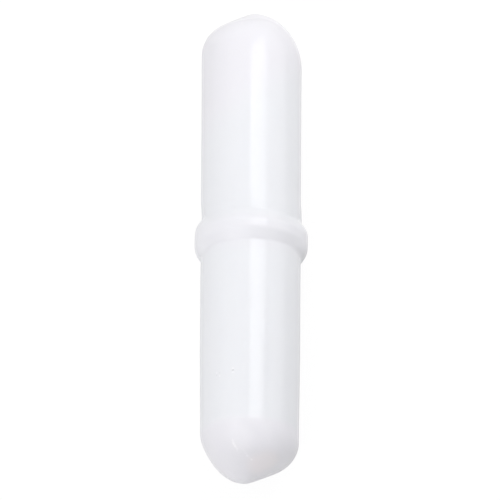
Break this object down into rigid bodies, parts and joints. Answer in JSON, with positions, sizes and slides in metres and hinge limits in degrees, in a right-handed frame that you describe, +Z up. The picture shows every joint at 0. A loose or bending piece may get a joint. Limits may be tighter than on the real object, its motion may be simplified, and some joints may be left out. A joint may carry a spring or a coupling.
{
  "type": "magnetic stir bar",
  "caption": "Round stirring bar with domed ends, a raised pivot ring round its middle and a magnet sealed in a smooth white PTFE jacket.",
  "frame": {"origin": "middle of the pivot ring, on the bar's axis", "axes": "+X along the bar towards its far end, which is the end nearer to the ring; +Z up, with the bar lying level on the crest of its ring; +Y to the left as seen from the near end, where the full shoulder of the far end is"},
  "size_m": [0.0405, 0.009, 0.009],
  "materials": {
    "ptfe": "moulded white PTFE, smooth and waxy with a soft gloss",
    "magnet": "cast aluminium-nickel-cobalt alloy, ground round, sawn ends"
  },
  "bodies": {
    "root": {"ptfe_jacket": "ptfe", "magnet_rod": "magnet"}
  },
  "joints": []
}
